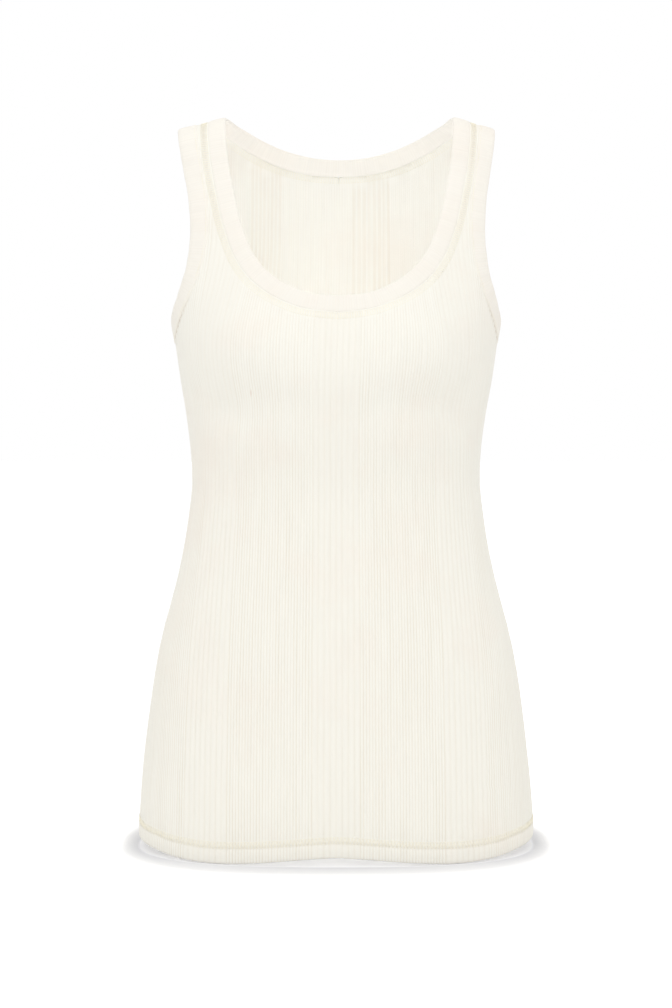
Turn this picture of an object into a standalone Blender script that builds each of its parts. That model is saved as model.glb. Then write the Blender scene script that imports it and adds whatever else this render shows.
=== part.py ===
"""Ribbed tank top, filled out as if worn, with nobody in it.

Run with: blender --background --python part.py

Units are metres and +Z is up. The origin is on the centre plane, midway between the two shoulder
seams at the height of the high shoulder points. The front of the garment faces -Y and the wearer's
left side is at +X.

Each cut piece is one object: two panels, a neck band and two armhole bands. A panel or a band is an
open surface laid on the general figure that the sections below describe, and Solidify gives it the
thickness of its cloth. The places on that figure are given by two numbers: an angle round the body,
0 at the centre line and 90 degrees at the side seam, and a drop, measured down the cloth from the
shoulder line.
"""

import math
from collections import namedtuple

import bmesh
import bpy
import numpy as np
from mathutils import Vector

# ---- driving dimensions -------------------------------------------------------------------------

LENGTH = 0.634  # high shoulder point to hem, straight down
NECK_HALF_WIDTH = 0.100  # centre line to the high shoulder point
SHOULDER_SLOPE = 0.27  # fall of the shoulder seam for each metre outwards
SLOPE_FADES_AT = 0.150  # level at which the shoulder slope no longer shows

SHOULDER_ROLL_HEIGHT = 0.040  # the cloth rolls over the shoulder on a quarter ellipse
FRONT_ROLL_DEPTH = 0.045
BACK_ROLL_DEPTH = 0.050

PANEL_CLOTH = 0.0012  # one ply of rib knit
HEM_CLOTH = 0.0024  # two plies
HEM_DEPTH = 0.017
HEM_STEP = 0.0182  # from this height up the cloth is one ply again
BAND_CLOTH = 0.0022  # folded strip
BAND_PROUD = 0.0005  # the bands' outer face stands this far off the panels' outer face
NECK_BAND_WIDTH = 0.016
ARMHOLE_BAND_WIDTH = 0.0165
SEAM_GAP = 0.0003

# ---- mesh resolution ----------------------------------------------------------------------------

PANEL_COLUMNS = 12  # centre line to side seam
PANEL_ROWS = 19  # hem fold to underarm
FRONT_NECK_STATIONS = 14  # along an edge from the centre line, or the underarm, to the shoulder
FRONT_ARMHOLE_STATIONS = 17
BACK_NECK_STATIONS = 9
BACK_ARMHOLE_STATIONS = 15
BAND_COLUMNS = 2
SHOULDER_CROWDING = 1.35  # 1 spaces the stations evenly, more brings them together over the roll
MARCH_STEPS = 6  # short steps that a walk along the figure is made in
PROBE = 1e-4  # small difference that slopes are measured over
SLOPE_PASSES = 20  # rounds that settle a level under the shoulder slope

# ---- the general figure -------------------------------------------------------------------------

# Sections of the filled-out garment: level below the high shoulder point, half width at the side
# seam, depth in front of and behind the side seam, and how boxy the section is (2 is an ellipse).
Section = namedtuple("Section", "level half_width front back boxiness")
SECTIONS = (
    Section(0.000, 0.178, 0.000, 0.000, 2.5),
    Section(0.040, 0.171, 0.000, 0.000, 2.5),
    Section(0.080, 0.164, 0.015, 0.022, 2.5),
    Section(0.120, 0.155, 0.031, 0.036, 2.45),
    Section(0.160, 0.1485, 0.048, 0.043, 2.4),
    Section(0.181, 0.1455, 0.056, 0.045, 2.35),
    Section(0.198, 0.1428, 0.062, 0.045, 2.3),
    Section(0.232, 0.1380, 0.068, 0.042, 2.2),
    Section(0.268, 0.1320, 0.064, 0.036, 2.2),
    Section(0.303, 0.1280, 0.055, 0.031, 2.2),
    Section(0.321, 0.1275, 0.051, 0.030, 2.2),
    Section(0.357, 0.1310, 0.050, 0.033, 2.25),
    Section(0.410, 0.1410, 0.056, 0.043, 2.3),
    Section(0.463, 0.1550, 0.063, 0.054, 2.4),
    Section(0.534, 0.1660, 0.071, 0.064, 2.5),
    Section(0.605, 0.1725, 0.077, 0.068, 2.6),
    Section(0.660, 0.1745, 0.079, 0.069, 2.7),
)

# The hem hangs a little lower between the centre line and the sides, and rises at the side seams.
HemDip = namedtuple("HemDip", "angle drop")
HEM_DIPS = (HemDip(0, -0.0005), HemDip(15, 0.0030), HemDip(30, 0.0055), HemDip(45, 0.0038),
            HemDip(60, 0.0005), HemDip(75, -0.0020), HemDip(90, -0.0045))

# Edges of the openings, on the wearer's left half: distance from the centre line and height.
EdgePoint = namedtuple("EdgePoint", "across up")
FRONT_NECK = (
    EdgePoint(0.000, -0.1640), EdgePoint(0.029, -0.1605), EdgePoint(0.0475, -0.1520),
    EdgePoint(0.064, -0.1390), EdgePoint(0.076, -0.1220), EdgePoint(0.0845, -0.1000),
    EdgePoint(0.091, -0.0730), EdgePoint(0.0965, -0.0440), EdgePoint(0.0995, -0.0170),
    EdgePoint(0.100, 0.0),
)
BACK_NECK = (
    EdgePoint(0.000, -0.0300), EdgePoint(0.030, -0.0275), EdgePoint(0.055, -0.0205),
    EdgePoint(0.078, -0.0100), EdgePoint(0.093, -0.0025), EdgePoint(0.100, 0.0),
)
FRONT_ARMHOLE = (
    EdgePoint(0.1455, -0.1810), EdgePoint(0.1437, -0.1745), EdgePoint(0.1390, -0.1620),
    EdgePoint(0.1332, -0.1450), EdgePoint(0.1293, -0.1240), EdgePoint(0.1281, -0.1020),
    EdgePoint(0.1298, -0.0780), EdgePoint(0.1340, -0.0530), EdgePoint(0.1380, -0.0290),
    EdgePoint(0.1403, -0.0109),
)
BACK_ARMHOLE = (
    EdgePoint(0.1455, -0.1810), EdgePoint(0.1441, -0.1740), EdgePoint(0.1405, -0.1600),
    EdgePoint(0.1363, -0.1380), EdgePoint(0.1341, -0.1120), EdgePoint(0.1338, -0.0840),
    EdgePoint(0.1356, -0.0560), EdgePoint(0.1385, -0.0300), EdgePoint(0.1403, -0.0109),
)

RIB_KNIT_CREAM = (0.905, 0.871, 0.791)
BAND_CREAM = (0.921, 0.880, 0.800)
KNIT_ROUGHNESS = 0.9


# ---- smooth curves through short tables -----------------------------------------------------------

def smooth(x, xs, ys):
    """Cubic Hermite curve through the points, with slopes taken from each point's neighbours."""
    xs, ys = np.asarray(xs, float), np.asarray(ys, float)
    slopes = np.gradient(ys, xs, edge_order=1)
    x = np.clip(x, xs[0], xs[-1])
    i = np.clip(np.searchsorted(xs, x, side="right") - 1, 0, len(xs) - 2)
    width = xs[i + 1] - xs[i]
    t = (x - xs[i]) / width
    start = (1 + 2 * t) * (1 - t) ** 2 * ys[i] + t * (1 - t) ** 2 * width * slopes[i]
    end = t * t * (3 - 2 * t) * ys[i + 1] + t * t * (t - 1) * width * slopes[i + 1]
    return start + end


def column(rows, name):
    return [getattr(row, name) for row in rows]


SECTION_LEVELS = column(SECTIONS, "level")


def section(level):
    """Half width, depth added to the roll in front and behind, and boxiness at a level."""
    names = ("half_width", "front", "back", "boxiness")
    return [float(smooth(level, SECTION_LEVELS, column(SECTIONS, name))) for name in names]


def hem_dip(angle):
    return float(smooth(math.degrees(angle), column(HEM_DIPS, "angle"), column(HEM_DIPS, "drop")))


# ---- places on the figure -------------------------------------------------------------------------

ROLL_DROP = SHOULDER_ROLL_HEIGHT * math.pi / 2  # drop at which the shoulder roll ends
SIDE = math.pi / 2  # angle of the side seam


def level_of(drop):
    """Level below the high shoulder point, for a drop down the cloth from the shoulder line."""
    if drop < ROLL_DROP:
        return SHOULDER_ROLL_HEIGHT * (1 - math.cos(drop / SHOULDER_ROLL_HEIGHT))
    return SHOULDER_ROLL_HEIGHT + drop - ROLL_DROP


def drop_of(level):
    if level < SHOULDER_ROLL_HEIGHT:
        return SHOULDER_ROLL_HEIGHT * math.acos(1 - max(level, 0.0) / SHOULDER_ROLL_HEIGHT)
    return level - SHOULDER_ROLL_HEIGHT + ROLL_DROP


def slope_fall(across, level):
    """How far the shoulder slope lowers a point at this distance from the centre line."""
    return SHOULDER_SLOPE * (across - NECK_HALF_WIDTH) * max(0.0, 1 - level / SLOPE_FADES_AT)


def place(angle, drop, behind):
    """The point of the figure's left half at an angle round the body and a drop down the cloth."""
    level = level_of(drop)
    half_width, front, back, boxiness = section(level)
    roll = math.sin(drop / SHOULDER_ROLL_HEIGHT) if drop < ROLL_DROP else 1.0
    depth = roll * (BACK_ROLL_DEPTH if behind else FRONT_ROLL_DEPTH) + (back if behind else front)
    power = 2 / boxiness
    x = half_width * max(math.sin(angle), 0.0) ** power
    y = depth * max(math.cos(angle), 0.0) ** power
    return np.array((x, y if behind else -y, -level - slope_fall(x, level)))


def find(point):
    """The angle and drop of an edge point given by its distance from the centre line and height."""
    level = -point.up
    for _ in range(SLOPE_PASSES):
        level = -point.up - slope_fall(point.across, max(level, 0.0))
    level = max(level, 0.0)
    half_width, _, _, boxiness = section(level)
    return math.asin(min(1.0, (point.across / half_width) ** (boxiness / 2))), drop_of(level)


def frame_at(angle, drop, behind):
    """Tangents round the body and down the cloth at a place, by small differences."""
    low, high = max(angle - PROBE, PROBE / 10), min(angle + PROBE, SIDE - PROBE / 10)
    around = (place(high, drop, behind) - place(low, drop, behind)) / (high - low)
    above, below = max(drop - PROBE, 0.0), drop + PROBE
    down = (place(angle, below, behind) - place(angle, above, behind)) / (below - above)
    return around, down


def march(start, heading, distance, behind):
    """Walk from a place along the figure, as near as the surface allows to a heading in space."""
    angle, drop = start
    for _ in range(MARCH_STEPS):
        around, down = frame_at(angle, drop, behind)
        jacobian = np.stack((around, down), axis=1)
        move = np.linalg.lstsq(jacobian, heading, rcond=None)[0]
        move *= distance / MARCH_STEPS / np.linalg.norm(jacobian @ move)
        angle = min(max(angle + move[0], 0.0), SIDE)
        drop = max(drop + move[1], 0.0)
    return angle, drop


# ---- edges of the openings, and lines beside them --------------------------------------------------

def stations(points, count, behind):
    """Places along an opening's edge, from its lowest point to the shoulder line, closer at the end."""
    places = np.array([find(point) for point in points])
    spots = np.array([place(angle, drop, behind) for angle, drop in places])
    run = np.concatenate(([0.0], np.cumsum(np.linalg.norm(np.diff(spots, axis=0), axis=1))))
    steps = run[-1] * (1 - np.linspace(1.0, 0.0, count + 1) ** SHOULDER_CROWDING)
    result = list(zip(smooth(steps, run, places[:, 0]), smooth(steps, run, places[:, 1])))
    result[0], result[-1] = tuple(places[0]), (places[-1][0], 0.0)
    return [(float(angle), float(drop)) for angle, drop in result]


def beside(edge, distance, behind, inward):
    """The line at a distance from an edge, on the cloth's side of it.

    inward is +1 where the cloth lies outside the opening towards +X (the neck) and -1 where it lies
    towards the centre line (an armhole). The line's two ends stay on the centre line, the side seam
    or the shoulder line that they start from.
    """
    spots = [place(angle, drop, behind) for angle, drop in edge]
    line = []
    for i, (angle, drop) in enumerate(edge):
        if i == 0:
            heading = np.array((0.0, 0.0, -1.0))
        elif i == len(edge) - 1:
            heading = np.array((inward, 0.0, -inward * SHOULDER_SLOPE))
        else:
            tangent = spots[i + 1] - spots[i - 1]
            around, down = frame_at(angle, drop, behind)
            normal = np.cross(down, around)
            heading = np.cross(normal, tangent) * (-inward)
        far_angle, far_drop = march((angle, drop), heading, distance, behind)
        if i == 0:
            far_angle = angle
        if i == len(edge) - 1:
            far_drop = 0.0
        line.append((far_angle, far_drop))
    return line


# ---- surfaces -------------------------------------------------------------------------------------

def grid_mesh(name, rows, flip, closed_rows=False):
    """An open mesh from rows of points, all of one length; closed_rows joins the last to the first."""
    mesh = bpy.data.meshes.new(name)
    work = bmesh.new()
    made = [[work.verts.new(Vector(point)) for point in row] for row in rows]
    pairs = list(zip(made, made[1:])) + ([(made[-1], made[0])] if closed_rows else [])
    for lower, upper in pairs:
        for j in range(len(lower) - 1):
            corners = (lower[j], lower[j + 1], upper[j + 1], upper[j])
            work.faces.new(corners[::-1] if flip else corners)
    work.to_mesh(mesh)
    work.free()
    return mesh


def between(first, last, count):
    """count + 1 evenly spaced values from first to last."""
    return [float(value) for value in np.linspace(first, last, count + 1)]


def material(name, colour):
    made = bpy.data.materials.new(name)
    made.use_nodes = True
    shader = made.node_tree.nodes["Principled BSDF"]
    shader.inputs["Base Color"].default_value = (*colour, 1.0)
    shader.inputs["Roughness"].default_value = KNIT_ROUGHNESS
    shader.inputs["Metallic"].default_value = 0.0
    made.diffuse_color = (*colour, 1.0)
    return made


def cloth(name, mesh, thickness, cloth_material, collection, mirrored, hem_share=None):
    """An object whose cloth lies inwards from the open surface of its mesh."""
    piece = bpy.data.objects.new(name, mesh)
    collection.objects.link(piece)
    mesh.materials.append(cloth_material)
    if mirrored:
        mirror = piece.modifiers.new("other half", "MIRROR")
        mirror.use_axis = (True, False, False)
        mirror.use_clip = True
        mirror.merge_threshold = 0.00005
    solid = piece.modifiers.new("cloth", "SOLIDIFY")
    solid.thickness = thickness
    solid.offset = -1.0
    solid.use_even_offset = True
    if hem_share is not None:
        group = piece.vertex_groups.new(name="plies")
        for index, share in hem_share:
            group.add([index], share, "REPLACE")
        solid.vertex_group = group.name
    mesh.shade_smooth()
    return piece


# ---- the pieces -----------------------------------------------------------------------------------

def panel(name, neck_edge, neck_count, armhole_edge, armhole_count, behind, collection):
    """A panel from hem to shoulder seam, with its lowest stretch turned up to two plies.

    Each row runs from the centre line, or from the neck seam above it, to the side seam, or to the
    armhole seam above that.
    """
    neck_seam = beside(stations(neck_edge, neck_count, behind), NECK_BAND_WIDTH + SEAM_GAP, behind, 1)
    arm_seam = beside(stations(armhole_edge, armhole_count, behind), ARMHOLE_BAND_WIDTH + SEAM_GAP,
                      behind, -1)

    hem_drop, fold_drop, step_drop = (drop_of(LENGTH - up) for up in (0, HEM_DEPTH, HEM_STEP))
    arm_drop = arm_seam[0][1]
    side_rows = between(step_drop, arm_drop, PANEL_ROWS)
    chest_rows = between(arm_drop, neck_seam[0][1], armhole_count - neck_count)
    low_drops = [hem_drop, (hem_drop + fold_drop) / 2, fold_drop, *side_rows]
    starts = [(0.0, drop) for drop in low_drops + chest_rows[1:]] + neck_seam[1:]
    ends = [(SIDE, drop) for drop in low_drops] + arm_seam[1:]

    rows, plies = [], []
    seam_y = (1.0 if behind else -1.0) * SEAM_GAP / 2
    for i, (start, end) in enumerate(zip(starts, ends)):
        row = []
        angles = between(start[0], end[0], PANEL_COLUMNS)
        drops = between(start[1], end[1], PANEL_COLUMNS)
        for angle, drop in zip(angles, drops):
            turned_up = drop > (fold_drop + step_drop) / 2
            plies.append((len(plies), 1.0 if turned_up else PANEL_CLOTH / HEM_CLOTH))
            lowness = max(0.0, (level_of(drop) - LENGTH / 2) / (LENGTH / 2))
            row.append(place(angle, drop + hem_dip(angle) * lowness ** 2, behind))
        if start[0] == 0.0:
            row[0][0] = 0.0
        if end[0] == SIDE:
            row[-1][1] = seam_y
        if i == len(starts) - 1:
            for point in row:
                point[1] = seam_y
        rows.append(row)
    mesh = grid_mesh(name, rows, flip=behind)
    colour = material(name + " rib knit", RIB_KNIT_CREAM)
    return cloth(name, mesh, HEM_CLOTH, colour, collection, True, plies)


def band_rows(edge_points, count, width, behind, inward):
    """Rows of points across a band, one for each station of the opening's edge."""
    edge = stations(edge_points, count, behind)
    lines = [edge] + [beside(edge, width * k / BAND_COLUMNS, behind, inward)
                      for k in range(1, BAND_COLUMNS + 1)]
    rows = []
    for i in range(len(edge)):
        row = []
        for line in lines:
            angle, drop = line[i]
            point = place(angle, drop, behind)
            around, down = frame_at(angle, drop, behind)
            normal = np.cross(around, down) * (1.0 if behind else -1.0)
            if i == len(edge) - 1:
                point[1], normal = 0.0, np.array((SHOULDER_SLOPE, 0.0, 1.0))
            if i == 0:
                normal = np.array((1.0, 0.0, 0.0)) if inward < 0 else normal * (0.0, 1.0, 1.0)
            row.append(point + normal / np.linalg.norm(normal) * BAND_PROUD)
        rows.append(row)
    return rows


def neck_band(collection):
    """The folded strip round the neck: one half, from centre front over the shoulder to centre back."""
    front = band_rows(FRONT_NECK, FRONT_NECK_STATIONS, NECK_BAND_WIDTH, False, 1)
    back = band_rows(BACK_NECK, BACK_NECK_STATIONS, NECK_BAND_WIDTH, True, 1)
    for row in (front[0], back[0]):
        for point in row:
            point[0] = 0.0
    mesh = grid_mesh("neck_band", front + back[-2::-1], flip=False)
    return cloth("neck_band", mesh, BAND_CLOTH, material("neck band knit", BAND_CREAM), collection, True)


def armhole_band(name, side, collection):
    """The folded strip round one armhole, for the wearer's left (+1) or right (-1) side."""
    front = band_rows(FRONT_ARMHOLE, FRONT_ARMHOLE_STATIONS, ARMHOLE_BAND_WIDTH, False, -1)
    back = band_rows(BACK_ARMHOLE, BACK_ARMHOLE_STATIONS, ARMHOLE_BAND_WIDTH, True, -1)
    rows = [[point * (side, 1.0, 1.0) for point in row] for row in front + back[-2:0:-1]]
    mesh = grid_mesh(name, rows, flip=side > 0, closed_rows=True)
    return cloth(name, mesh, BAND_CLOTH, material(name + " knit", BAND_CREAM), collection, False)


def main():
    for old in list(bpy.data.objects):
        bpy.data.objects.remove(old, do_unlink=True)
    collection = bpy.data.collections.new("ribbed_tank_top")
    bpy.context.scene.collection.children.link(collection)

    panel("front_panel", FRONT_NECK, FRONT_NECK_STATIONS, FRONT_ARMHOLE, FRONT_ARMHOLE_STATIONS,
          False, collection)
    panel("back_panel", BACK_NECK, BACK_NECK_STATIONS, BACK_ARMHOLE, BACK_ARMHOLE_STATIONS,
          True, collection)
    neck_band(collection)
    armhole_band("left_armhole_band", 1, collection)
    armhole_band("right_armhole_band", -1, collection)


main()
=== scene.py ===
"""Ribbed cream tank top, filled out as if worn, with nobody in it: its looks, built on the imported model.

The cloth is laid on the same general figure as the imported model. A place on it is given by an arc,
measured round the body from the centre line, and a drop, measured down the cloth from the shoulder
line. Units are metres and +Z is up. The front faces -Y and the wearer's left side is at +X.
"""

import math
from collections import namedtuple

import bmesh
import bpy
import numpy as np
from bpy.props import FloatProperty, IntProperty, PointerProperty, StringProperty
from bpy.types import Operator, Panel, PropertyGroup
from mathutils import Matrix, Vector


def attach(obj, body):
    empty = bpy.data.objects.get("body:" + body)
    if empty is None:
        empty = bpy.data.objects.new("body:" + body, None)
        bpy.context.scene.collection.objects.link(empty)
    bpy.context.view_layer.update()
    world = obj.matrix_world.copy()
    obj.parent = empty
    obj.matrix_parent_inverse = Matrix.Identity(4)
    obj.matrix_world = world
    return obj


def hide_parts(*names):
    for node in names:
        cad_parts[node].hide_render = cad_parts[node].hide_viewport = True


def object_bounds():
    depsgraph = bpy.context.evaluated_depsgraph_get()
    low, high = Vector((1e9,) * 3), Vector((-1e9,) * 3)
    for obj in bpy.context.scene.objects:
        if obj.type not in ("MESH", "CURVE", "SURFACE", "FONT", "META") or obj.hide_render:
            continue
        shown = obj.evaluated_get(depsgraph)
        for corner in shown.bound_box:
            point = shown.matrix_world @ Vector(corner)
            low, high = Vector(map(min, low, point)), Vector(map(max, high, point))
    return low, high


bl_info = {
    "name": "Ribbed Tank Top",
    "version": (1, 0, 0),
    "blender": (4, 5, 0),
    "location": "View3D > Sidebar > Tank Top",
    "description": "Builds a sleeveless rib-knit top with folded bands and a coverstitched hem",
    "category": "Object",
}

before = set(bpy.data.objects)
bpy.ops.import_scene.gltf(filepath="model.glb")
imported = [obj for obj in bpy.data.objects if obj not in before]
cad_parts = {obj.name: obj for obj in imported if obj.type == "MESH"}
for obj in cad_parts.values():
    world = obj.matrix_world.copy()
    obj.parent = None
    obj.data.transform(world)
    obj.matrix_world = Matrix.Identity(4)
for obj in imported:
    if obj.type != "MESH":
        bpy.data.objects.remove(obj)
CAD_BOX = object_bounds()

# ---- the figure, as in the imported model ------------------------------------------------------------

LENGTH = 0.6348
NECK_HALF_WIDTH = 0.100
SHOULDER_SLOPE = 0.27
SLOPE_FADES_AT = 0.150
ROLL_HEIGHT = 0.040
ROLL_DROP = ROLL_HEIGHT * math.pi / 2
FRONT_ROLL_DEPTH = 0.045
BACK_ROLL_DEPTH = 0.050
SIDE = math.pi / 2
SHOULDER_CROWDING = 1.35

# Level below the high shoulder point, half width, depth in front of and behind the side seam, boxiness.
SECTIONS = np.array((
    (0.000, 0.1780, 0.000, 0.000, 2.50), (0.040, 0.1710, 0.000, 0.000, 2.50),
    (0.080, 0.1640, 0.015, 0.022, 2.50), (0.120, 0.1550, 0.031, 0.036, 2.45),
    (0.160, 0.1485, 0.048, 0.043, 2.40), (0.181, 0.1455, 0.056, 0.045, 2.35),
    (0.198, 0.1428, 0.062, 0.045, 2.30), (0.232, 0.1380, 0.068, 0.042, 2.20),
    (0.268, 0.1320, 0.064, 0.036, 2.20), (0.303, 0.1280, 0.055, 0.031, 2.20),
    (0.321, 0.1275, 0.051, 0.030, 2.20), (0.357, 0.1310, 0.050, 0.033, 2.25),
    (0.410, 0.1410, 0.056, 0.043, 2.30), (0.463, 0.1550, 0.063, 0.054, 2.40),
    (0.534, 0.1660, 0.071, 0.064, 2.50), (0.605, 0.1725, 0.077, 0.068, 2.60),
    (0.660, 0.1745, 0.079, 0.069, 2.70),
))
# Degrees round the body and how much lower the hem hangs there.
HEM_DIPS = np.array(((0, -0.0005), (15, 0.0042), (30, 0.0060), (45, 0.0042),
                     (60, 0.0005), (75, -0.0020), (90, -0.0045)))
# Edges of the openings on the wearer's left half: distance from the centre line and height.
FRONT_NECK = ((0.000, -0.1640), (0.029, -0.1605), (0.0475, -0.1520), (0.064, -0.1390),
              (0.076, -0.1220), (0.0845, -0.1000), (0.091, -0.0730), (0.0965, -0.0440),
              (0.0995, -0.0170), (0.100, 0.0))
BACK_NECK = ((0.000, -0.0300), (0.030, -0.0275), (0.055, -0.0205), (0.078, -0.0100),
             (0.093, -0.0025), (0.100, 0.0))
FRONT_ARMHOLE = ((0.1455, -0.1810), (0.1437, -0.1745), (0.1390, -0.1620), (0.1332, -0.1450),
                 (0.1293, -0.1240), (0.1281, -0.1020), (0.1298, -0.0780), (0.1340, -0.0530),
                 (0.1380, -0.0290), (0.1403, -0.0109))
BACK_ARMHOLE = ((0.1455, -0.1810), (0.1441, -0.1740), (0.1405, -0.1600), (0.1363, -0.1380),
                (0.1341, -0.1120), (0.1338, -0.0840), (0.1356, -0.0560), (0.1385, -0.0300),
                (0.1403, -0.0109))

# ---- the cloth's form ------------------------------------------------------------------------------

# The wales keep their spacing round the body but spread a little over the bust and the hips.
WALE_SPREAD = np.array(((0.000, 0.97), (0.120, 0.99), (0.200, 1.020), (0.320, 1.000),
                        (0.460, 1.035), (0.620, 1.045), (0.700, 1.045)))
FAN_SHIFT = 0.014  # how far the wales beside an armhole draw in towards the strap
FAN_INNER, FAN_OUTER = 0.030, 0.118  # arc over which that shift comes in
FAN_TOP, FAN_FOOT = 0.105, 0.225  # levels it fades in between

UNDERARM_TOP, UNDERARM_FOOT = 0.155, 0.182  # drops over which the underarm seam opens into a crevice
SEAM_SHADE = "#CCBEAB"  # painted shade deep in a seam, in the hem's needle holes and under the straps' ladder

# Soft troughs and ridges. arc is round from the centre line, negative on the wearer's right; tilt is
# the fall of the fold's length in degrees, and a negative height is a trough.
Fold = namedtuple("Fold", "arc level tilt length width height")
FRONT_FOLDS = (
    Fold(0.070, 0.206, 0, 0.044, 0.036, 0.0082), Fold(-0.071, 0.205, 0, 0.044, 0.036, 0.0082),
    Fold(0.080, 0.262, 0, 0.066, 0.021, -0.0046), Fold(-0.081, 0.261, 0, 0.066, 0.021, -0.0046),
    Fold(0.000, 0.225, 90, 0.060, 0.024, -0.0012),
    Fold(0.104, 0.262, 24, 0.044, 0.010, -0.0011), Fold(-0.100, 0.264, 22, 0.048, 0.010, -0.0012),
    Fold(0.120, 0.283, 30, 0.038, 0.007, 0.0007), Fold(-0.118, 0.286, 28, 0.042, 0.008, 0.0007),
    Fold(0.135, 0.322, 12, 0.034, 0.006, -0.0008), Fold(-0.138, 0.330, 10, 0.030, 0.006, -0.0008),
    Fold(0.100, 0.345, 18, 0.050, 0.008, -0.0006), Fold(-0.085, 0.352, 14, 0.055, 0.009, -0.0006),
    Fold(0.128, 0.236, -38, 0.030, 0.006, -0.0008), Fold(-0.130, 0.238, -36, 0.030, 0.006, -0.0008),
    Fold(-0.060, 0.498, 6, 0.060, 0.010, 0.0006), Fold(0.050, 0.520, -4, 0.070, 0.011, -0.0005),
    Fold(0.135, 0.574, 14, 0.013, 0.0032, -0.0009), Fold(0.132, 0.580, 10, 0.015, 0.0030, 0.0007),
    Fold(0.112, 0.605, 12, 0.012, 0.0030, -0.0009), Fold(0.108, 0.611, 8, 0.010, 0.0026, 0.0006),
    Fold(0.066, 0.596, 9, 0.014, 0.0032, -0.0005), Fold(-0.118, 0.600, -8, 0.016, 0.0036, -0.0005),
    Fold(-0.165, 0.560, -20, 0.030, 0.007, -0.0007), Fold(0.178, 0.548, 18, 0.030, 0.007, -0.0007),
)
BACK_FOLDS = (
    Fold(0.062, 0.115, 80, 0.060, 0.024, 0.0016), Fold(-0.060, 0.118, 82, 0.060, 0.024, 0.0016),
    Fold(0.000, 0.300, 2, 0.075, 0.010, -0.0012), Fold(0.010, 0.322, -3, 0.080, 0.009, 0.0009),
    Fold(-0.012, 0.345, 4, 0.070, 0.009, -0.0010), Fold(0.095, 0.318, -16, 0.050, 0.008, -0.0010),
    Fold(-0.098, 0.324, 17, 0.050, 0.008, -0.0010), Fold(0.118, 0.282, -26, 0.040, 0.007, 0.0007),
    Fold(-0.120, 0.286, 24, 0.040, 0.007, 0.0007), Fold(0.070, 0.500, 8, 0.060, 0.011, 0.0006),
    Fold(-0.080, 0.520, -7, 0.060, 0.011, -0.0006), Fold(0.120, 0.590, 10, 0.016, 0.0036, -0.0006),
    Fold(-0.130, 0.572, -12, 0.018, 0.0038, -0.0006), Fold(0.125, 0.215, 34, 0.034, 0.007, -0.0009),
    Fold(-0.127, 0.218, -33, 0.034, 0.007, -0.0009),
)

HEM_NEEDLES = (0.0123, 0.0174)  # heights of the hem's two lines of stitches above its fold
HEM_STEPS = (0.0030, 0.0060, 0.0088, 0.0108, 0.0123, 0.0137, 0.0150, 0.0161, 0.0174, 0.0189, 0.0210,
             0.0245, 0.0290)  # heights of the mesh rows above the fold, close together at the stitching
# Height above the fold and how far the cloth stands out there: it tunnels between the stitch lines.
HEM_PROFILE = np.array(((0.000, 0.0000), (0.006, 0.0004), (0.0105, 0.0002), (0.0123, -0.0003),
                        (0.0149, 0.0001), (0.0174, -0.0003), (0.0200, -0.0001), (0.0300, 0.0)))
# Level and the spacing of the mesh rows there: close where the bust and the hem's creases turn the cloth.
ROW_STEPS = np.array(((0.000, 0.0088), (0.160, 0.0088), (0.300, 0.0096), (0.360, 0.0160), (0.520, 0.0160),
                      (0.560, 0.0080), (0.700, 0.0080)))
NECK_ROW_STEP = 0.0042
NECK_CLOSE_ROWS = 0.042  # drop over which rows lie that close, up from the openings' lowest points
NECK_LEAN = 0.0030  # how far the neck hangs to one side
LADDER_MIDDLE = 0.0033  # from the neck band's seam to the middle of the ladder stitches beside it
BAND_OVERLAP = 0.004  # how far a panel runs in under a band
PANEL_LOOP, BAND_LOOP = (0.00082, 0.00078), (0.00074, 0.00070)  # width and height of a knitted loop
FLOOR_GAP = 0.0016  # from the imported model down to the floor; the knitted hem hangs a little below its hem
DENSE = 601  # points that each row of the figure is measured on
PROBE = 1e-3  # a short way down the cloth, to measure its slope over


def settings():
    return bpy.context.scene.tank_top


def hermite(t, width, start, end, start_slope, end_slope):
    """The cubic curve across a span at a share t of its width, from the values and slopes at its ends."""
    near = (1 + 2 * t) * (1 - t) ** 2 * start + t * (1 - t) ** 2 * width * start_slope
    far = t * t * (3 - 2 * t) * end + t * t * (t - 1) * width * end_slope
    return near + far


def smooth(x, xs, ys):
    """Cubic Hermite curve through points, with slopes from each point's neighbours; ys may be rows."""
    xs, ys = np.asarray(xs, float), np.asarray(ys, float)
    slopes = np.gradient(ys, xs, axis=0)
    x = np.clip(np.asarray(x, float), xs[0], xs[-1])
    i = np.clip(np.searchsorted(xs, x, side="right") - 1, 0, len(xs) - 2)
    spread = (1,) * (ys.ndim - 1)
    width = (xs[i + 1] - xs[i]).reshape(x.shape + spread)
    t = (x - xs[i]).reshape(x.shape + spread) / width
    return hermite(t, width, ys[i], ys[i + 1], slopes[i], slopes[i + 1])


def ease(x, low, high):
    """0 below low, 1 above high, smooth between."""
    t = np.clip((np.asarray(x, float) - low) / (high - low), 0.0, 1.0)
    return t * t * (3 - 2 * t)


def hill(x, centre, width):
    """1 at the centre, falling smoothly to almost nothing two widths away."""
    return np.exp(-((x - centre) / width) ** 2)


def crowded(count):
    """Shares from 0 to 1 that lie closer together towards both ends."""
    return np.sin(np.linspace(0.0, 1.0, count) * math.pi / 2) ** 2


def run_along(points):
    """How far each point of a line, or of rows of lines, is from its line's first."""
    steps = np.linalg.norm(np.diff(points, axis=-2), axis=-1)
    return np.concatenate((np.zeros_like(steps[..., :1]), np.cumsum(steps, axis=-1)), axis=-1)


def level_of(drop):
    """How far a drop down the cloth is below the shoulder line; the cloth rolls over the shoulder first."""
    drop = np.asarray(drop, float)
    on_roll = ROLL_HEIGHT * (1 - np.cos(np.minimum(drop, ROLL_DROP) / ROLL_HEIGHT))
    return np.where(drop < ROLL_DROP, on_roll, ROLL_HEIGHT + drop - ROLL_DROP)


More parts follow.
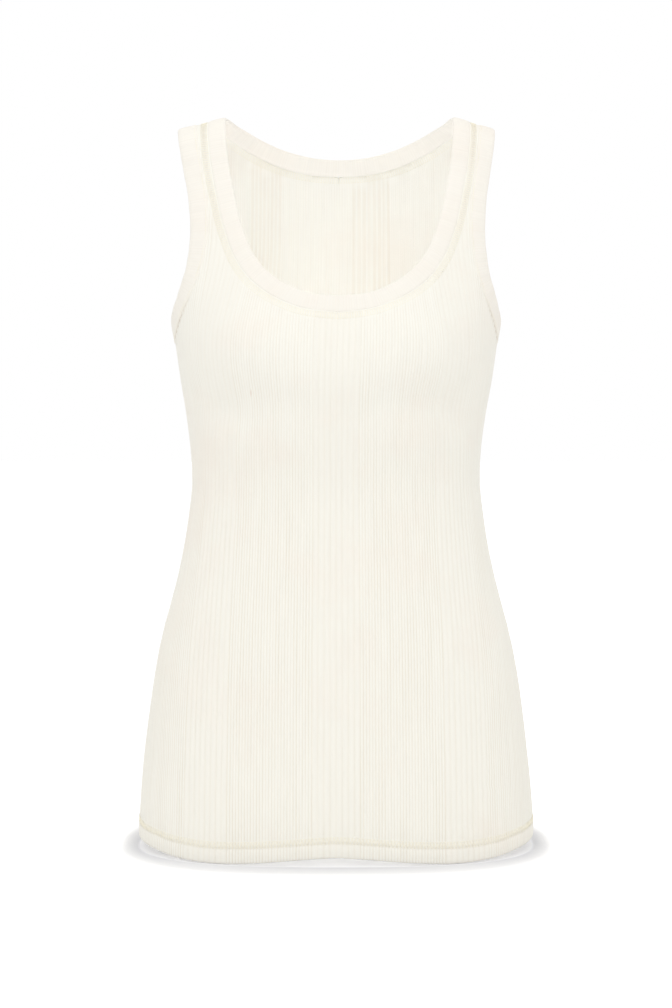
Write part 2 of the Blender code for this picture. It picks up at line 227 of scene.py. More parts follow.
def drop_of(level):
    level = np.asarray(level, float)
    on_roll = ROLL_HEIGHT * np.arccos(1 - np.clip(level / ROLL_HEIGHT, 0, 1))
    return np.where(level < ROLL_HEIGHT, on_roll, level - ROLL_HEIGHT + ROLL_DROP)


HEM_DROP = float(drop_of(LENGTH))


def slope_fall(across, level):
    """How far the shoulders' slope lowers the cloth."""
    return SHOULDER_SLOPE * (across - NECK_HALF_WIDTH) * np.maximum(0.0, 1 - level / SLOPE_FADES_AT)


def place(angle, drop, behind):
    """Points of the figure's left half at angles round the body and drops down the cloth."""
    angle, drop = np.broadcast_arrays(np.asarray(angle, float), np.asarray(drop, float))
    level = level_of(drop)
    half_width, front, back, boxiness = np.moveaxis(smooth(level, SECTIONS[:, 0], SECTIONS[:, 1:]), -1, 0)
    roll = np.where(drop < ROLL_DROP, np.sin(np.minimum(drop, ROLL_DROP) / ROLL_HEIGHT), 1.0)
    depth = roll * (BACK_ROLL_DEPTH if behind else FRONT_ROLL_DEPTH) + (back if behind else front)
    power = 2 / boxiness
    x = half_width * np.maximum(np.sin(angle), 0.0) ** power
    y = depth * np.maximum(np.cos(angle), 0.0) ** power * (1 if behind else -1)
    return np.stack((x, y, -level - slope_fall(x, level)), axis=-1)


def hung(angle, drop, behind):
    """The same with the hem's dips, which fade out half way up."""
    low = np.maximum(0.0, (level_of(drop) - LENGTH / 2) / (LENGTH / 2))
    dip = smooth(np.degrees(angle), HEM_DIPS[:, 0], HEM_DIPS[:, 1])
    return place(angle, drop + dip * low ** 2, behind)


def unit(vectors):
    return vectors / np.maximum(np.linalg.norm(vectors, axis=-1, keepdims=True), 1e-12)


def hung_and_out(angles, drops, behind):
    """Points of hung cloth with the directions out of it; each row's angles run round the body."""
    spots = hung(angles, drops, behind)
    lower = hung(angles, drops + PROBE, behind)
    return spots, unit(np.cross(np.gradient(spots, axis=-2), lower - spots) * (1 if behind else -1))


# ---- lines beside the openings ------------------------------------------------------------------------

def find(across, up):
    """The angle and drop of an edge point."""
    level = -up
    for _ in range(20):
        level = -up - slope_fall(across, max(level, 0.0))
    level = max(float(level), 0.0)
    half_width, _, _, boxiness = smooth(level, SECTIONS[:, 0], SECTIONS[:, 1:])
    return math.asin(min(1.0, (across / half_width) ** (boxiness / 2))), float(drop_of(level))


def stations(points, count, behind):
    """Angles and drops along an opening's edge, from its lowest point to the shoulder line."""
    places = np.array([find(*point) for point in points])
    spots = place(places[:, 0], places[:, 1], behind)
    run = run_along(spots)
    steps = run[-1] * (1 - np.linspace(1.0, 0.0, count + 1) ** SHOULDER_CROWDING)
    result = smooth(steps, run, places)
    result[0], result[-1] = places[0], (places[-1][0], 0.0)
    return result


def tangents(angle, drop, behind):
    """How the cloth's places move with the angle and with the drop."""
    probe = 1e-4
    low, high = np.maximum(angle - probe, 1e-5), np.minimum(angle + probe, SIDE - 1e-5)
    around = (place(high, drop, behind) - place(low, drop, behind)) / (high - low)[:, None]
    above, below = np.maximum(drop - probe, 0.0), drop + probe
    down = (place(angle, below, behind) - place(angle, above, behind)) / (below - above)[:, None]
    return around, down


def beside(edge, distance, behind, inward):
    """Angles and drops of the line at a distance from an edge, on the cloth's side of it."""
    spots = place(edge[:, 0], edge[:, 1], behind)
    around, down = tangents(edge[:, 0], edge[:, 1], behind)
    along = np.gradient(spots, axis=0)
    heading = np.cross(np.cross(down, around), along) * -inward
    heading[0], heading[-1] = (0, 0, -1), (inward, 0, -inward * SHOULDER_SLOPE)
    line = edge.copy()
    steps = 8
    for _ in range(steps):
        around, down = tangents(line[:, 0], line[:, 1], behind)
        slopes = np.stack((around, down), axis=-1)
        move = np.einsum("nij,nj->ni", np.linalg.pinv(slopes), heading)
        made = np.linalg.norm(np.einsum("nij,nj->ni", slopes, move), axis=1)
        line = line + move * (distance / steps / made)[:, None]
        line[:, 0] = np.clip(line[:, 0], 0.0, SIDE)
        line[:, 1] = np.maximum(line[:, 1], 0.0)
    line[0, 0], line[-1, 1] = edge[0, 0], 0.0
    return line


def fold_field(folds, arc, level):
    """How far the soft creases and the body's form under the cloth lift it."""
    total = np.zeros_like(arc)
    for fold in folds:
        turn = math.radians(fold.tilt)
        da, dl = arc - fold.arc, level - fold.level
        along = da * math.cos(turn) + dl * math.sin(turn)
        off = dl * math.cos(turn) - da * math.sin(turn)
        bend = 0.18 * fold.width * np.sin(along / fold.length * 2.1 + fold.level * 90)
        total += fold.height * np.exp(-(along / fold.length) ** 2 - ((off - bend) / fold.width) ** 2)
    return total


def raised(arc, level, to_side, behind):
    """How far the cloth stands off the general figure: the body's form, creases and slight unevenness."""
    lift = fold_field(BACK_FOLDS if behind else FRONT_FOLDS, arc, level)
    lift = lift * ease(to_side, 0.0, 0.012) * ease(level, 0.055, 0.085)
    return lift + 0.00025 * np.sin(arc * 61 + 1.3 + 9 * level) * np.sin(level * 47 + arc * 17 + 0.6)


def hem_lift(arc, height):
    """How far the hem's cloth stands out between its lines of stitches, and how the thread puckers it."""
    pucker = hill(height, 0.017, 0.008) * (0.00018 * np.sin(arc * 520 + 2 * np.sin(arc * 83))
                                           + 0.00022 * np.sin(arc * 171 + 1.7))
    return np.where(np.less(height, 0.035), smooth(height, HEM_PROFILE[:, 0], HEM_PROFILE[:, 1]) + pucker, 0.0)


def arc_to(angle, drop, behind):
    """Distance round the body from the centre line to places, and from them on to the side seam."""
    runs = []
    for low, high in ((0 * angle, angle), (angle, 0 * angle + SIDE)):
        spots = hung(low[:, None] + (high - low)[:, None] * crowded(161), drop[:, None], behind)
        runs.append(run_along(spots)[:, -1])
    return runs


class Track:
    """Places beside a whole opening's edge, given by a run along the edge and a distance from it.

    inward is 1 for the neck, which goes all round both sides, and -1 for the armhole on the side given.
    """

    distances = np.array((0.0, 0.006, 0.012, 0.018, 0.026))

    def __init__(self, front, back, inward, side, count=36):
        self.inward = inward
        loop = self.half(front, back, inward, side, count)
        if inward > 0:
            loop = np.concatenate((loop, self.half(front, back, inward, -side, count)[-2::-1]))
        run = run_along(loop[:, 1, :3])
        self.length = run[-1]
        # Three stations more at each end make the loop smooth where it closes.
        self.xs = np.concatenate((run[-4:-1] - self.length, run, run[1:4] + self.length))
        self.ys = np.concatenate((loop[-4:-1], loop, loop[1:4]))

    def half(self, front, back, inward, side, count):
        """Rows of places and outward directions from the front's lowest point over to the back's."""
        rows = []
        for points, behind in ((front, False), (back, True)):
            edge = stations(points, count, behind)
            half = []
            for distance in self.distances:
                line = beside(edge, distance, behind, inward) if distance else edge
                angle, drop = line.T
                spots = hung(angle, drop, behind)
                around, down = tangents(angle, drop, behind)
                out = unit(np.cross(around, down) * (1 if behind else -1))
                arc, to_side = arc_to(angle, drop, behind)
                lift = raised(arc * side, level_of(drop), to_side, behind)
                spots[-1, 1], out[-1] = 0.0, unit(np.array((SHOULDER_SLOPE, 0.0, 1.0)))
                if inward > 0:
                    spots[0, 0], out[0] = 0.0, unit(out[0] * (0, 1, 1))
                else:
                    spots[0, 1], out[0] = 0.0, (1.0, 0.0, 0.0)
                half.append(np.concatenate((spots + out * lift[:, None], out), axis=1))
            rows.append(np.stack(half, axis=1))
        return np.concatenate((rows[0], rows[1][-2::-1])) * (side, 1, 1, side, 1, 1)

    def extra(self, run):
        """How much wider than elsewhere the strip is along the edge."""
        return widened(np.minimum(run, self.length - run)) if self.inward < 0 else 0 * run

    def at(self, run, distance):
        """Points and outward directions for arrays of runs and distances, one for each pair."""
        rows = smooth(np.mod(run, self.length), self.xs, self.ys)
        k = np.clip(np.searchsorted(self.distances, distance, side="right") - 1, 0, len(self.distances) - 2)
        i = np.arange(len(rows))
        step = (self.distances[k + 1] - self.distances[k])[:, None]
        t = (distance - self.distances[k])[:, None] / step
        slopes = np.gradient(rows, self.distances, axis=1)
        both = hermite(t, step, rows[i, k], rows[i, k + 1], slopes[i, k], slopes[i, k + 1])
        return both[:, :3], unit(both[:, 3:])


# ---- node trees -----------------------------------------------------------------------------------------

VECTOR = "ShaderNodeVectorMath"


def add(tree, kind, inputs=(), out=0, **values):
    """Add a node, set its values, set or link its inputs, given in order or by name, and return one output."""
    made = tree.nodes.new(kind)
    for name, value in values.items():
        setattr(made, name, value)
    for name, value in inputs.items() if isinstance(inputs, dict) else enumerate(inputs):
        if isinstance(value, bpy.types.NodeSocket):
            tree.links.new(value, made.inputs[name])
        else:
            made.inputs[name].default_value = value
    return made.outputs[out] if made.outputs else made


def calc(tree, operation, *inputs):
    """The result of a Math node."""
    return add(tree, "ShaderNodeMath", inputs, operation=operation)


def mix(tree, share, first, second, kind="FLOAT"):
    """A share of the way from the first number to the second, or of colours if the kind is RGBA."""
    at, out = (6, 2) if kind == "RGBA" else (2, 0)
    return add(tree, "ShaderNodeMix", {0: share, at: first, at + 1: second}, out=out, data_type=kind)


def new_tree(name, numbers):
    """A Geometry Nodes tree with the named number inputs; returns the tree and its inputs."""
    tree = bpy.data.node_groups.new(name, "GeometryNodeTree")
    tree.interface.new_socket("Geometry", in_out="INPUT", socket_type="NodeSocketGeometry")
    for label in numbers:
        tree.interface.new_socket(label, in_out="INPUT", socket_type="NodeSocketFloat")
    tree.interface.new_socket("Material", in_out="INPUT", socket_type="NodeSocketMaterial")
    tree.interface.new_socket("Geometry", in_out="OUTPUT", socket_type="NodeSocketGeometry")
    return tree, tree.nodes.new("NodeGroupInput").outputs


def close_tree(tree, geometry, material):
    """End a tree with Realize Instances and Set Material."""
    real = add(tree, "GeometryNodeRealizeInstances", {"Geometry": geometry})
    dressed = add(tree, "GeometryNodeSetMaterial", {"Geometry": real, "Material": material})
    add(tree, "NodeGroupOutput", {"Geometry": dressed})


def rib_tree():
    """Presses the valleys between ribs into a cloth whose points know their wale.

    On the cloth's inner face the ridges lie behind the outer face's valleys. The depth wanders
    from rib to rib and along each, as the yarn's twist and the washing leave it.
    """
    tree, given = new_tree("rib knit relief", (
        "Half Repeat", "Wide Half Width", "Wide Pitch", "Fine Pitch", "Wide Depth", "Fine Depth", "Roundness",
        "Unevenness", "Wide Valley Shade", "Wide Shade", "Shift"))
    wale, course, firmness, inner = (
        add(tree, "GeometryNodeInputNamedAttribute", {"Name": name}, data_type="FLOAT")
        for name in ("wale", "course", "relief_share", "inner"))
    from_middle = calc(tree, "SUBTRACT", wale, given["Shift"])
    across = calc(tree, "PINGPONG", from_middle, given["Half Repeat"])
    is_wide = calc(tree, "LESS_THAN", across, given["Wide Half Width"])
    into_fine = calc(tree, "SUBTRACT", across, given["Wide Half Width"])
    fine_turns = calc(tree, "DIVIDE", into_fine, given["Fine Pitch"])
    wide_turns = calc(tree, "DIVIDE", across, given["Wide Pitch"])
    turns = mix(tree, is_wide, fine_turns, wide_turns)
    half_waves = calc(tree, "MULTIPLY", turns, math.pi)
    wave = calc(tree, "SINE", half_waves)
    hump = calc(tree, "ABSOLUTE", wave)
    ridge = calc(tree, "POWER", hump, given["Roundness"])
    other_way = calc(tree, "SUBTRACT", 1.0, ridge)
    height = mix(tree, inner, ridge, other_way)
    depth = mix(tree, is_wide, given["Fine Depth"], given["Wide Depth"])

    cloth = add(tree, "ShaderNodeCombineXYZ", (wale, course, 0.0))
    stretched = add(tree, VECTOR, (cloth, (260.0, 9.0, 1.0)), operation="MULTIPLY")
    noise = add(tree, "ShaderNodeTexNoise", {"Vector": stretched, "Scale": 1.0, "Detail": 2.0})
    low = calc(tree, "SUBTRACT", 1.0, given["Unevenness"])
    high = calc(tree, "ADD", 1.0, given["Unevenness"])
    share = add(tree, "ShaderNodeMapRange", (noise, 0.3, 0.7, low, high))
    share = calc(tree, "MULTIPLY", share, firmness)

    fall = calc(tree, "SUBTRACT", height, 1.0)
    fall = calc(tree, "MULTIPLY", fall, share)
    sink = calc(tree, "MULTIPLY", fall, depth)
    normal = add(tree, "GeometryNodeInputNormal")
    offset = add(tree, VECTOR, {0: normal, "Scale": sink}, operation="SCALE")
    # How much painted shade the valleys get: wide ones are open and pale outside, where their ribs get a little
    # painted shade all over instead, and show more inside.
    fine_valley_shade = calc(tree, "MULTIPLY_ADD", inner, -0.45, 1.0)
    wide_valley_shade = calc(tree, "MULTIPLY_ADD", inner, 0.7, given["Wide Valley Shade"])
    valley_shade = mix(tree, is_wide, fine_valley_shade, wide_valley_shade)
    outer = calc(tree, "SUBTRACT", 1.0, inner)
    wide_all_over_shade = calc(tree, "MULTIPLY", is_wide, given["Wide Shade"])
    wide_all_over_shade = calc(tree, "MULTIPLY", wide_all_over_shade, outer)
    crest = calc(tree, "MULTIPLY_ADD", wide_all_over_shade, -1.0, 1.0)
    seen = calc(tree, "MULTIPLY_ADD", fall, valley_shade, crest)
    # The rib value kept for the material is how much of the crest colour shows; below 1 it is painted shade.
    kept = add(tree, "GeometryNodeStoreNamedAttribute", {"Geometry": given["Geometry"], "Name": "rib", "Value": seen},
               data_type="FLOAT", domain="POINT")
    moved = add(tree, "GeometryNodeSetPosition", {"Geometry": kept, "Offset": offset})
    close_tree(tree, moved, given["Material"])
    return tree


def stitch_tree():
    """Lays one thread after another along a seam line whose points know which way is out.

    With no slant the threads run on in line; with one, every second thread leans the other way.
    """
    tree, given = new_tree("stitch row", ("Stitch Length", "Bead Length", "Thread", "Flatness", "Slant"))
    curve = add(tree, "GeometryNodeMeshToCurve", {"Mesh": given["Geometry"]})
    spaced = add(tree, "GeometryNodeResampleCurve", {"Curve": curve, "Length": given["Stitch Length"]}, mode="LENGTH")
    outward = add(tree, "GeometryNodeInputNamedAttribute", {"Name": "out"}, data_type="FLOAT_VECTOR")
    tangent = add(tree, "GeometryNodeInputTangent")
    index = add(tree, "GeometryNodeInputIndex")
    odd = calc(tree, "MODULO", index, 2.0)
    side = calc(tree, "MULTIPLY_ADD", odd, 2.0, -1.0)
    lean = calc(tree, "MULTIPLY", side, given["Slant"])
    turn = add(tree, "ShaderNodeCombineXYZ", (0.0, 0.0, lean))
    turned = add(tree, "FunctionNodeEulerToRotation", (turn,))
    facing = add(tree, "FunctionNodeAxesToRotation", (outward, tangent), primary_axis="Z", secondary_axis="X")
    rotation = add(tree, "FunctionNodeRotateRotation", (facing, turned), rotation_space="LOCAL")
    bead = add(tree, "GeometryNodeMeshUVSphere", {"Segments": 6, "Rings": 4, "Radius": 0.5})
    tall = calc(tree, "MULTIPLY", given["Thread"], given["Flatness"])
    size = add(tree, "ShaderNodeCombineXYZ", (given["Bead Length"], given["Thread"], tall))
    laid = add(tree, "GeometryNodeInstanceOnPoints",
               {"Points": spaced, "Instance": bead, "Rotation": rotation, "Scale": size})
    rounded = add(tree, "GeometryNodeSetShadeSmooth", {"Geometry": laid})
    close_tree(tree, rounded, given["Material"])
    return tree


def lean_over(mesh):
    """The neck hangs a few millimetres towards the wearer's left, as a top does that was put on by hand."""
    spots = np.empty(len(mesh.vertices) * 3, "f")
    mesh.vertices.foreach_get("co", spots)
    spots = spots.reshape(-1, 3)
    between_straps = 1 - ease(np.abs(spots[:, 0]), 0.105, 0.150)
    high = 1 - ease(-spots[:, 2], 0.10, 0.27)
    spots[:, 0] += NECK_LEAN * between_straps * high
    mesh.vertices.foreach_set("co", spots.ravel())
    mesh.update()


def new_object(name, data):
    made = bpy.data.objects.new(name, data)
    bpy.context.scene.collection.objects.link(made)
    return made


def baked(name, mesh, tree, numbers, material, thickness=0.0):
    """A plain mesh object made from a mesh by a tree, after a cloth gets its thickness."""
    source = new_object(name + " source", mesh)
    if thickness:
        wall = source.modifiers.new("cloth", "SOLIDIFY")
        wall.thickness, wall.offset, wall.use_even_offset = thickness, -1.0, False
        wall.shell_vertex_group = source.vertex_groups.new(name="inner").name
    modifier = source.modifiers.new(tree.name, "NODES")
    modifier.node_group = tree
    sockets = {item.name: item.identifier for item in tree.interface.items_tree if item.in_out == "INPUT"}
    for label, value in {**numbers, "Material": material}.items():
        modifier[sockets[label]] = value
    seen = source.evaluated_get(bpy.context.evaluated_depsgraph_get())
    made = bpy.data.meshes.new_from_object(seen)
    bpy.data.objects.remove(source)
    made.name = name
    if len(made.materials) > 1:
        made.materials.pop(index=0)  # the empty slot of the lines under the thread
    lean_over(made)
    made.shade_smooth()
    return new_object(name, made)


# ---- materials ------------------------------------------------------------------------------------------

def linear(colour):
    """A hex sRGB colour as linear red, green, blue and alpha."""
    parts = [int(colour.lstrip("#")[i:i + 2], 16) / 255 for i in (0, 2, 4)]
    return (*[c / 12.92 if c <= 0.04045 else ((c + 0.055) / 1.055) ** 2.4 for c in parts], 1.0)


def new_material(name, values):
    """A material with the values set on its shader; returns it, its node tree and the shader."""
    material = bpy.data.materials.new(name)
    material.use_nodes = True
    shader = material.node_tree.nodes["Principled BSDF"]
    for label, value in values.items():
        shader.inputs[label].default_value = value
    return material, material.node_tree, shader


# Cotton fibre's refraction, and the dull sheen of its yarn.
COTTON = {"IOR": 1.46, "Specular IOR Level": 0.3, "Sheen Roughness": 0.6}


def knitted(name, crest, valley_shade_colour, blush, loop_width, loop_height, fleck):
    """Combed cotton, undyed and washed soft: matt, with a little pale fuzz at grazing angles.

    Each wale is a column of V-shaped loops. The valleys between ribs get painted shade, deeper and yellower,
    because light only reaches them after it has crossed the cloth, and undyed yarn varies slowly from
    cream to a faint pink tan.
    """
    material, tree, shader = new_material(name, {**COTTON, "Roughness": 0.92, "Sheen Weight": 0.12})
    rib = add(tree, "ShaderNodeAttribute", out="Fac", attribute_name="rib")
    cloth = add(tree, "ShaderNodeUVMap", uv_map="cloth")
    spot = add(tree, "ShaderNodeTexCoord", out="Object")
    across = add(tree, "ShaderNodeSeparateXYZ", (cloth,))
    along = add(tree, "ShaderNodeSeparateXYZ", (cloth,), out=1)

    # Loops: a V in each column, and the columns' own rounding.
    column = calc(tree, "DIVIDE", across, loop_width)
    place_in = calc(tree, "FRACT", column)
    from_middle = calc(tree, "SUBTRACT", place_in, 0.5)
    middle = calc(tree, "ABSOLUTE", from_middle)
    row = calc(tree, "DIVIDE", along, loop_height)
    course = calc(tree, "ADD", row, middle)
    arch = calc(tree, "MULTIPLY", course, math.pi)
    arch = calc(tree, "SINE", arch)
    arch = calc(tree, "ABSOLUTE", arch)
    edge = calc(tree, "MULTIPLY_ADD", middle, -2.0, 1.0)
    edge = calc(tree, "POWER", edge, 0.5)
    loops = calc(tree, "MULTIPLY", arch, edge)
    fuzz = add(tree, "ShaderNodeTexNoise", {"Vector": spot, "Scale": 2600.0, "Detail": 2.0})
    height = calc(tree, "MULTIPLY_ADD", fuzz, 0.35, loops)
    bump = add(tree, "ShaderNodeBump", {"Height": height, "Strength": 0.55, "Distance": 0.00016})
    tree.links.new(bump, shader.inputs["Normal"])

    # Colour: painted shade from valley to crest, then slow unevenness of the yarn, and painted shade in the gaps
    # between the loops.
    tone = mix(tree, rib, linear(valley_shade_colour), linear(crest), "RGBA")
    slow = add(tree, "ShaderNodeTexNoise", {"Vector": spot, "Scale": 11.0, "Detail": 4.0, "Roughness": 0.6})
    warm = add(tree, "ShaderNodeMapRange", (slow, 0.50, 0.72, 0.0, 0.35))
    tone = mix(tree, warm, tone, linear(blush), "RGBA")
    streak_at = add(tree, VECTOR, (cloth, (700.0, 24.0, 1.0)), operation="MULTIPLY")
    streak = add(tree, "ShaderNodeTexNoise", {"Vector": streak_at, "Scale": 1.0, "Detail": 1.0})
    shade = calc(tree, "MULTIPLY_ADD", streak, 0.06, 0.95)
    # Painted shade: the gaps between the loops are a little darker.
    shade = calc(tree, "MULTIPLY_ADD", loops, 0.03, shade)
    tinted = add(tree, VECTOR, {0: tone, "Scale": shade}, operation="SCALE")
    if fleck:
        centre, radii, colour = fleck
        away = add(tree, VECTOR, (spot, centre), operation="SUBTRACT")
        scaled = add(tree, VECTOR, (away, radii), operation="DIVIDE")
        reach = add(tree, VECTOR, (scaled,), out=1, operation="LENGTH")
        mask = add(tree, "ShaderNodeMapRange", (reach, 0.35, 1.2, 0.8, 0.0))
        tinted = mix(tree, mask, tinted, linear(colour), "RGBA")
    # Painted shade down in the underarm seam, in the hem's needle holes and under the straps' ladder, where little
    # light comes back out of the layers of cloth.
    crevice = add(tree, "ShaderNodeAttribute", out="Fac", attribute_name="crevice")
    tinted = mix(tree, crevice, tinted, linear(SEAM_SHADE), "RGBA")
    tree.links.new(tinted, shader.inputs["Base Color"])
    return material


def sewing_thread(name, colour):
    """Spun cotton sewing thread: two plies twisted together, a little smoother and yellower than the knit."""
    material, tree, shader = new_material(name, {**COTTON, "Roughness": 0.7, "Sheen Weight": 0.05})
    spot = add(tree, "ShaderNodeTexCoord", out="Object")
    twist = add(tree, "ShaderNodeTexNoise", {"Vector": spot, "Scale": 1800.0, "Detail": 2.0})
    shade = calc(tree, "MULTIPLY_ADD", twist, 0.10, 0.95)
    tinted = add(tree, VECTOR, {0: linear(colour)[:3], "Scale": shade}, operation="SCALE")
    tree.links.new(tinted, shader.inputs["Base Color"])
    bump = add(tree, "ShaderNodeBump", {"Height": twist, "Strength": 0.4, "Distance": 0.0001})
    tree.links.new(bump, shader.inputs["Normal"])
    return material


# ---- cloth pieces ------------------------------------------------------------------------------------------

def new_mesh(name, points, edges, faces, **values):
    """A mesh whose points carry the named numbers."""
    mesh = bpy.data.meshes.new(name)
    mesh.from_pydata(points, edges, faces)
    for label, numbers in values.items():
        mesh.attributes.new(label, "FLOAT", "POINT").data.foreach_set("value", np.ravel(numbers).astype("f"))
    return mesh


def fine_ribs(knit):
    """How many fine ribs fit from a wide band's edge half way to the next, and their pitch."""
    half = knit.repeat / 2 - knit.wide_pitch * knit.wide_ribs
    count = round(half / knit.fine_pitch)
    return count, half / count


def wale_lines(knit, limit, shift):
    """The wales that mesh columns follow, to a limit each way from the centre line.

    Ribs are cut finely enough to turn. The pattern's own middle lies at the shift.
    """
    cuts, fine_cuts = 6, 4
    fine_count, fine_pitch = fine_ribs(knit)
    half, at = [0.0], 0.0
    spans = [(knit.wide_ribs * cuts, knit.wide_pitch / cuts)]
    while at < limit + shift:
        for count, step in spans:
            for _ in range(count):
                at += step
                half.append(at)
        spans = [(2 * fine_count * fine_cuts, fine_pitch / fine_cuts),
                 (2 * knit.wide_ribs * cuts, knit.wide_pitch / cuts)]
    half = np.array(half)
    lines = np.concatenate((-half[:0:-1], half)) + shift
    lines = lines[np.abs(lines) <= limit]
    lines[np.argmin(np.abs(lines))] = 0.0
    return lines


def widened(away):
    """How much wider an armhole strip is near the underarm, where its ends are joined."""
    return 0.0050 * hill(away, 0.0, 0.035)


def nearest_to(points, edge_points, behind):
    """Each point's distance from an opening's edge, for points on the figure's left half."""
    edge = stations(edge_points, 200, behind)
    line = hung(edge[:, 0], edge[:, 1], behind)
    flat = points.reshape(-1, 3)
    away = [np.sqrt(((some[:, None] - line[None]) ** 2).sum(axis=2).min(axis=1))
            for some in np.array_split(flat, len(flat) // 4000 + 1)]
    return np.concatenate(away).reshape(points.shape[:-1])


def rows_between(start, end):
    """Drops of mesh rows above start, up to and with end."""
    drops = [start]
    while drops[-1] > end:
        drops.append(drops[-1] - float(smooth(level_of(drops[-1]), ROW_STEPS[:, 0], ROW_STEPS[:, 1])))
    drops = np.array(drops)
    return (start + (drops - start) * (end - start) / (drops[-1] - start))[1:]


def panel_mesh(name, behind, neck_points, armhole_points):
    """A panel's outer face, from the edge of the turned-up hem, round the fold and up to the shoulders."""
    cut, knit = settings().cut, settings().knit
    sign = 1 if behind else -1
    neck = beside(stations(neck_points, 60, behind), cut.neck_band_width - BAND_OVERLAP, behind, 1)
    arm = beside(stations(armhole_points, 60, behind), cut.armhole_band_width - BAND_OVERLAP, behind, -1)

    # Rows: first the hem's turned-up ply and its fold, each row with its height above the fold and how far
    # in it lies as a share of the hem's thickness, then the outer ply and the body.
    ply = cut.hem_thickness - 0.0001
    turned = [(0.0189, 1), (0.0174, 1), (0.0123, 1), (0.0070, 1), (0.0022, 1)]
    radius = cut.hem_thickness / 2
    bend = [(radius * (1 - math.sin(t)), (1 - math.cos(t)) / 2) for t in np.radians((170, 130, 90, 50, 10))]
    rows = [(HEM_DROP - height, inset) for height, inset in turned + bend]
    rows += [(HEM_DROP - height, 0.0) for height in HEM_STEPS]
    first = HEM_DROP - HEM_STEPS[-1]
    dense_from = max(neck[0, 1], arm[0, 1]) + 0.002
    rows += [(drop, 0.0) for drop in rows_between(first, dense_from)]
    close_to = dense_from - NECK_CLOSE_ROWS
    count = round(NECK_CLOSE_ROWS / NECK_ROW_STEP)
    rows += [(drop, 0.0) for drop in np.linspace(dense_from, close_to, count + 1)[1:]]
    rows += [(drop, 0.0) for drop in rows_between(close_to, 0.0)]
    drops, insets = np.array(rows).T
    heights = HEM_DROP - drops

    # The figure, measured densely along each row, and which way is out.
    share = np.linspace(0.0, 1.0, DENSE)
    spots, outward = hung_and_out(SIDE * crowded(DENSE)[None, :], drops[:, None], behind)
    arcs = run_along(spots)

    def arc_of(line, r):
        angle = np.interp(drops[r], line[::-1, 1], line[::-1, 0])
        spot = math.asin(math.sqrt(min(1.0, max(angle, 0.0) / SIDE))) / (math.pi / 2)
        return float(np.interp(spot, share, arcs[r]))

    limit = (arcs[:, -1] / smooth(level_of(drops), WALE_SPREAD[:, 0], WALE_SPREAD[:, 1])).max() + 0.001
    wales = wale_lines(knit, limit, knit.back_shift if behind else 0.0)
    middle = int(np.argmin(np.abs(wales)))
    levels = level_of(drops)
    spread = smooth(levels, WALE_SPREAD[:, 0], WALE_SPREAD[:, 1])[:, None]
    fanned = np.outer(1 - ease(levels, FAN_TOP, FAN_FOOT), ease(np.abs(wales), FAN_INNER, FAN_OUTER))
    wanted = np.abs(wales)[None, :] * spread - FAN_SHIFT * fanned
    near = np.array([arc_of(neck, r) if drops[r] < neck[0, 1] else 0.0 for r in range(len(drops))])
    far = np.array([arc_of(arm, r) if drops[r] < arm[0, 1] else arcs[r, -1] for r in range(len(drops))])
    reached = np.clip(wanted, near[:, None], far[:, None])
    kept_wale = wales[None, :] + np.sign(wales)[None, :] * (reached - wanted) / spread

    points = np.empty(reached.shape + (3,))
    out = np.empty_like(points)
    for r in range(len(drops)):
        for axis in range(3):
            points[r, :, axis] = np.interp(reached[r], arcs[r], spots[r, :, axis])
            out[r, :, axis] = np.interp(reached[r], arcs[r], outward[r, :, axis])
    out = unit(out)
    from_neck, from_arm = (nearest_to(points, line, behind) for line in (neck_points, armhole_points))
    under_arm = hung(*stations(armhole_points, 8, behind)[0], behind)
    seam_at = cut.armhole_band_width + widened(np.linalg.norm(points - under_arm, axis=2))
    hand = np.where(np.arange(len(wales)) < middle, -1.0, 1.0)
    points[..., 0] *= hand
    out[..., 0] *= hand

    # Creases, the body's form, hem and seams.
    arc = reached * hand
    level = np.broadcast_to(levels[:, None], arc.shape)
    to_side = arcs[:, -1:] - reached
    lift = raised(arc, level, to_side, behind)
    height = np.broadcast_to(heights[:, None], arc.shape)
    lift += hem_lift(arc, height)
    groove = hill(to_side, 0.0, 0.0016) * ease(level, 0.150, 0.190)
    lift -= 0.0009 * groove
    low_arm = ease(-points[..., 2], UNDERARM_TOP, UNDERARM_FOOT)
    beside_arm = hill(from_arm, seam_at, 0.0008 + 0.0004 * low_arm) * ease(-points[..., 2], 0.02, 0.05)
    lift -= (0.0003 + 0.0003 * low_arm) * beside_arm
    sewn = 1 - ease(from_neck, cut.neck_band_width + 0.0060, cut.neck_band_width + 0.0085)
    plies = insets[:, None]
    lift = lift * (1 - 2 * plies)
    points += out * (lift - plies * ply)[..., None]
    if drops[-1] == 0.0:
        points[-1, :, 1] = sign * 0.00015

    # Painted shade between the layers at the underarm seam, in the hem's needle holes and under the straps' ladder.
    painted_shade_share = 0.28 * low_arm * beside_arm
    painted_shade_share = np.maximum(painted_shade_share, 0.10 * hill(height, HEM_NEEDLES[0], 0.0010) * (1 - plies))
    if not behind:
        on_ladder = hill(from_neck, cut.neck_band_width + LADDER_MIDDLE, 0.0016)
        painted_shade_share = np.maximum(painted_shade_share, 0.24 * on_ladder * (1 - ease(level, 0.06, 0.16)))
    on_stitch = sum(hill(height, needle, 0.0011) for needle in HEM_NEEDLES)
    firm = (1 - 0.5 * np.clip(on_stitch, 0, 1)) * (1 - 0.9 * groove)
    folded = np.where((insets > 0.02) & (insets < 0.98), 0.35, 1.0)[:, None]
    # The bust stretches the ribs flat, the hips do so less, and the cloth lies flatter beside a side seam.
    relaxed = (0.52 + 0.40 * ease(level, 0.15, 0.40)) * (0.65 + 0.35 * ease(to_side, 0.005, 0.055))
    firm = firm * folded * relaxed * (1 - 0.85 * sewn)

